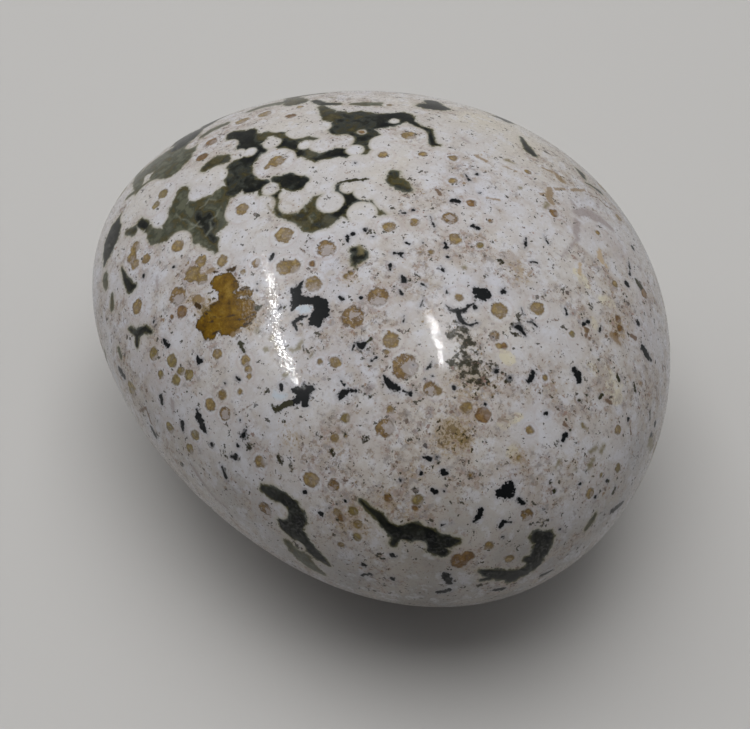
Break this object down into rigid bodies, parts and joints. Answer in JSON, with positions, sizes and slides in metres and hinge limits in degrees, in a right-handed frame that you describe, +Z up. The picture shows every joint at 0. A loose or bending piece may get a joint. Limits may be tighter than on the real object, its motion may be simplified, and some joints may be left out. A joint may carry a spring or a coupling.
{
  "type": "polished ocean jasper freeform stone",
  "caption": "Palm-sized polished orbicular jasper, egg-like with one blunt end and one straighter flank, resting on a small ground flat as an ornament, palm stone or paperweight.",
  "frame": {"origin": "middle of the stone's box, at the level of the flat spot that it rests on", "axes": "+X along the stone's length, towards its blunt end; +Y across it, away from its straighter flank; +Z up"},
  "size_m": [0.072, 0.061, 0.0435],
  "materials": {
    "polished_jasper": "polished"
  },
  "bodies": {
    "root": {"stone": "polished_jasper"}
  },
  "joints": []
}
